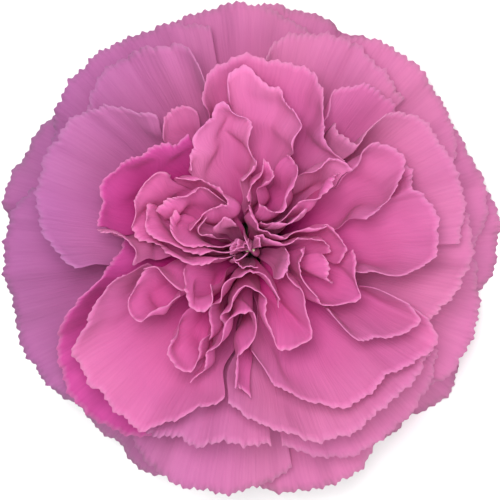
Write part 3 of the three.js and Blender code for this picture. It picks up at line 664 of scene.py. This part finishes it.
# ---- Heart petals ----
# Upright petals folded and curled into each other, toothed like the rest but waved along the rim.
# They are the last to open, still dented from the bud, on claws inside those of the outer petals.
HEART_PETALS = [
    ([[-13.2, 12.8], [-15, 11.8], [-16.8, 10], [-18.2, 7.5], [-18.6, 5], [-18, 2.8], [-16.5, 1],
      [-14, -0.3], [-12, -1], [-9.5, -1.7], [-6, -1.8], [-3.2, -1]], 0, 0.62),
    ([[-16.8, 7.6], [-16.4, 6], [-15.8, 4.3], [-14.7, 2.8], [-13, 1.3], [-11, 0.2], [-8, -0.4],
      [-4.5, -0.3], [-2, 0.6], [-0.2, 1.8]], 0, 0.6),
    ([[-15.2, 5.9], [-13.7, 6.7], [-11, 8.6], [-8.3, 9.8], [-5.5, 9.2], [-3.9, 7.8]], 0, 0.75),
    ([[-12.2, 6.2], [-12.6, 5], [-11.9, 3.4], [-10.3, 1.7], [-8, 0.6], [-5, 0.6], [-3, 1.5]], 0, 0.6),
    ([[-12.5, 12.2], [-9.5, 12], [-6.5, 11], [-4, 9.5], [-2.6, 8], [-3, 6.5], [-5, 5.9], [-8, 5.5],
      [-10.2, 4]], 0, 0.35),
    ([[-9.8, 12.8], [-9.8, 14.7], [-8.8, 17.5], [-7, 20], [-5.2, 22.5], [-4, 23.2], [-2, 21.8],
      [-0.3, 19.2], [0.5, 16], [0.3, 13.5], [-1.6, 11.4]], 0, 0.85),
    ([[-0.6, 8.3], [0.3, 10.5], [1.3, 13], [2.2, 14], [3.2, 12.7], [2.7, 11], [1.6, 9.8]], 0, 0.3),
    ([[5.5, 16], [6.8, 13.5], [7.2, 10.5], [6.3, 8], [4.5, 6.6], [2.5, 6.4], [1, 7.1]], 0, 0.6),
    ([[15.6, 13.2], [14, 11.2], [12, 9.3], [9, 7.3], [6.5, 5.7], [4, 4.7], [1.8, 5.3]], 0, 0.6),
    ([[-0.6, 6.9], [0.3, 5], [2, 3.4], [4.5, 2.4], [7, 2.4], [9, 3.3], [11, 4.1], [13, 4], [14.4, 2],
      [15, 0], [15.2, -2.3]], 0, 0.35),
    ([[0.8, 2.2], [3, 1.3], [6, 1.1], [8.5, 1.7], [10.5, 2.5], [12.3, 2.3], [13, 1],
      [13.3, -1]], 0, 0.35),
    ([[8.6, 0], [8.5, -2.5], [9.2, -5], [10.5, -7.5], [12.3, -9.3], [14.3, -9.4], [16, -7.5],
      [16.8, -5], [17, -2.5], [16.8, 0]], 0, 0.3),
    ([[10.3, -0.4], [11, -2.2], [12.3, -4.2], [14, -6.5]], 0, 0.3),
    ([[6.6, -1.8], [6.7, -3.5], [7.6, -5.5], [8.2, -8], [9, -11], [8.2, -13.5], [5.8, -15],
      [4.2, -14.5], [3.2, -12.5], [2.5, -10], [1.8, -8], [0.5, -6.5], [-1, -6.1], [-2.7, -7.3],
      [-3.6, -9.5], [-4, -12]], 0, 0.45),
    ([[-6.4, -14.5], [-5.8, -10], [-4.6, -7], [-2.8, -4.9], [-0.5, -3.8], [1.8, -4.1], [3.7, -5.7],
      [4.8, -8], [5.4, -10]], 0, 0.45),
    ([[-9.8, -23], [-7.6, -19.6], [-6, -16.5], [-4.6, -13.8], [-2.6, -11], [-0.4, -10.3], [0.9, -12],
      [-0.3, -14.5], [-1.8, -17], [-2.6, -19.5], [-2, -22], [0.2, -24.4]], 0, 0.45),
    ([[-10.6, -2.6], [-10.8, -5], [-10.2, -7.5], [-8.6, -9.2], [-6.9, -8.3], [-6.4, -6]], 0, 0.4),
    ([[-17.8, -3.6], [-18.8, -6.8], [-18, -9.7], [-16, -10.8], [-14, -9.7], [-12.6, -7.6]], 0, 0.6),
    ([[-12.8, -12.4], [-12.9, -15.5], [-12, -17.9], [-9.5, -19], [-7.9, -17.6], [-7.2, -15]], 0, 0.6),
    ([[-3.3, 24.4], [-3.6, 26.8], [-1.5, 28.2], [1.5, 28], [4.8, 26], [6.3, 22.8], [7.7, 19.5],
      [6.8, 16.8]], 0, 0.5),
    ([[-16.5, -3], [-14.5, -3.4], [-13, -4.6], [-11.6, -6]], 0, 0.5),
]
HEART_PETAL = petal_material(
    "heart_petal", (0.74, 0.25, 0.48), (0.74, 0.18, 0.45), (0.68, 0.02, 0.27), 0.5)
paler = {6: REVERSE_PETAL, 20: REVERSE_PETAL}
lined_petals("heart", HEART_PETALS, HEART_PETAL, paler, 0.9, 1.0)

# ---- Petaloids ----
# Slips of petal no bigger than a fingernail: stamens that have turned into petals.
# Nine fill the very middle, between the folds, and the last fills a gap behind the heart.
PETALOIDS = [
    ([[-1.8, 5.2], [-0.9, 3.6], [0.8, 2.9]], 0, 0.5, -0.05),
    ([[3.4, 0.7], [3.9, -1.1], [2.8, -2.9]], 0, 0.5, -0.12),
    ([[-2.6, -1], [-2.3, -2.2], [-1.1, -2.9], [1.2, -3.2]], 0, 0.5),
    ([[5.7, 0.3], [6, -2], [4.7, -4.4]], 0, 0.5),
    ([[-5.6, -2.6], [-4.2, -3.4], [-2.6, -3]], 0, 0.5, -0.05),
    ([[-5.6, 3.4], [-4.2, 4.6], [-2.2, 4.2]], 0, 0.5),
    ([[8.6, 6.2], [7.8, 4.9], [5.4, 4], [3.2, 4.3]], 0, 0.5),
    ([[-1.8, -0.5], [-0.5, -1], [1.2, -0.7], [2.3, 0.1]], 0, 0.5, -0.06),
    ([[-7.4, 5], [-8.4, 3.6], [-7.2, 2.3], [-5, 2.2]], 0, 0.5),
    ([[9, 13.2], [11.5, 14], [13.3, 14.4], [14.7, 14.2], [15.7, 13.8], [16.3, 13.3]], 0, 0.5),
]
lined_petals("petaloid", PETALOIDS, REVERSE_PETAL, {9: INNER_PETAL}, 0.9, 0.3)

# ---- Calyx ----
# The green tube that holds the claws together: it grows out of the receptacle, and its upper edge is
# cut into five teeth that the guard petals press outwards.
CALYX_OFFSET = CLAW_THICKNESS / 2 + CLEARANCE + CALYX_WALL / 2
CALYX_TIP = 1.2
CALYX_TOOTH = 4.6
CALYX_TEETH = 5
CALYX_RIBS = 30
RIB_HEIGHT = 0.05
SEAM = 1e-6
CLAW_LENGTH = MOUTH_HEIGHT - FOOT_HEIGHT

calyx, across, share = flat_sheet("calyx_tube", 240, 40)
azimuth = across * 2 * math.pi
cut = np.abs(2 * ((across * CALYX_TEETH) % 1) - 1)
way = share * (CLAW_LENGTH + CALYX_TIP - (CALYX_TOOTH + CALYX_TIP) * cut ** 1.5)
inside = way <= CLAW_LENGTH
claw_share = np.clip(way / CLAW_LENGTH, 0, 1)
bent_radius, bent_height = blade_profile(1.0, np.maximum(0, way - CLAW_LENGTH))
turned = np.maximum(0, way - CLAW_LENGTH) / BEND_OUTER
ribs = RIB_HEIGHT * np.cos(azimuth * CALYX_RIBS) * np.clip(share * 4, 0, 1)
radius = np.where(inside, mix(FOOT_RADIUS, MOUTH_RADIUS, claw_share), bent_radius)
radius = radius + (CALYX_OFFSET + ribs) * np.cos(turned)
height = np.where(inside, FOOT_HEIGHT + way, bent_height - CALYX_OFFSET * np.sin(turned))
move_corners(calyx, placed(round_axis(radius, azimuth, height)))
bpy.ops.object.mode_set(mode="EDIT")
bpy.ops.mesh.select_all(action="SELECT")
bpy.ops.mesh.remove_doubles(threshold=SEAM)
bpy.ops.object.mode_set(mode="OBJECT")
thicken(calyx, CALYX_WALL)
CALYX_SKIN = green_skin("calyx_skin", (0.25, 0.37, 0.15), (0.15, 0.26, 0.08), (1100, 1100, 45))
finish_green(calyx, CALYX_SKIN, "calyx")

# ---- Bracts ----
# Two pairs of short pointed scales that clasp the foot of the calyx, one pair crossing the other.
# They are tough and green, with a low keel up the middle, and grow from the top of the stem.
BRACT_WALL = 0.45
BRACT_HEIGHT = 7.0
BRACT_HALF = 56
BRACT_NARROWING = 0.96
BRACT_KEEL = 0.12
BRACT_SUNK = 1.2
BRACT_SPREAD = (MOUTH_RADIUS - FOOT_RADIUS) / CLAW_LENGTH
BRACT_SKIN = green_skin("bract_skin", (0.3, 0.4, 0.17), (0.18, 0.28, 0.09), (1300, 1300, 60))
for number, (azimuth, layer) in enumerate([(0, 0), (180, 0), (90, 1), (270, 1)], 1):
    bract, across, share = flat_sheet(f"bract_scale_{number}", 48, 24)
    side = 2 * across - 1
    half = BRACT_HALF * (1 - BRACT_NARROWING * share ** 2.2)
    angle = np.radians(azimuth + half * side)
    radius = CALYX_FOOT_RADIUS + CLEARANCE + BRACT_WALL / 2 + layer * (BRACT_WALL + CLEARANCE)
    keel = BRACT_KEEL * np.exp(-(side * 5) ** 2) * (1 - share)
    radius = radius + BRACT_SPREAD * BRACT_HEIGHT * share + keel
    height = FOOT_HEIGHT - BRACT_SUNK + BRACT_HEIGHT * share
    move_corners(bract, placed(round_axis(radius, angle, height)))
    thicken(bract, BRACT_WALL)
    finish_green(bract, BRACT_SKIN, f"bract_{number}")

# ---- Pistil ----
# The pale seed case in the middle of the receptacle, and the two slender styles that grow from it.
# It is the CAD piece itself, given its skin.
PISTIL_SKIN = green_skin("pistil_skin", (0.55, 0.62, 0.36), (0.42, 0.52, 0.24), (1500, 1500, 80))
pistil = bpy.data.objects["pistil"]
pistil.data.materials.clear()
pistil.data.materials.append(PISTIL_SKIN)

# ---- Table, light and camera ----
# A pale matt table, a soft light over the flower's face and a wider, weaker one from the other side.
# The camera looks straight down the bloom's axis, which leans a little as the flower lies.
SENSOR = 36
DISTANCE = 0.75
HALF_VIEW = 0.0408
bpy.ops.object.select_all(action="DESELECT")
bpy.ops.mesh.primitive_plane_add(size=3)
floor = bpy.context.object
floor.name = "table"
paper = bpy.data.materials.new("pale_table")
paper.use_nodes = True
paper.node_tree.nodes["Principled BSDF"].inputs["Base Color"].default_value = (0.86, 0.86, 0.86, 1)
paper.node_tree.nodes["Principled BSDF"].inputs["Roughness"].default_value = 0.9
floor.data.materials.append(paper)

axis = (IN_FRAME.to_3x3() @ Vector((0, 0, 1))).normalized()
right = (IN_FRAME.to_3x3() @ Vector((1, 0, 0))).normalized()
ahead = (IN_FRAME.to_3x3() @ Vector((0, 1, 0))).normalized()
aim = IN_FRAME @ Vector((0, 0, MOUTH_HEIGHT * MM))


def area_light(name, place, size, power):
    """A square light turned to the middle of the bloom."""
    data = bpy.data.lights.new(name, "AREA")
    data.size = size
    data.energy = power
    light = bpy.data.objects.new(name, data)
    bpy.context.collection.objects.link(light)
    light.location = place
    light.rotation_euler = (aim - Vector(place)).to_track_quat("-Z", "Y").to_euler()


area_light("key", aim + axis * 0.78 + ahead * 0.13 - right * 0.08, 0.3, 5.8)
area_light("fill", aim + axis * 0.7 - ahead * 0.3 + right * 0.25, 0.6, 3.2)
world = bpy.data.worlds.new("studio")
bpy.context.scene.world = world
world.use_nodes = True
world.node_tree.nodes["Background"].inputs["Color"].default_value = (1, 1, 1, 1)
world.node_tree.nodes["Background"].inputs["Strength"].default_value = 0.76

bpy.context.scene.view_settings.view_transform = "Standard"
camera_data = bpy.data.cameras.new("camera")
camera_data.sensor_width = SENSOR
camera_data.lens = SENSOR * DISTANCE / (2 * HALF_VIEW)
camera = bpy.data.objects.new("camera", camera_data)
bpy.context.collection.objects.link(camera)
pose = Matrix((right, ahead, axis)).transposed().to_4x4()
camera.matrix_world = Matrix.Translation(aim + axis * DISTANCE) @ pose
bpy.context.scene.camera = camera
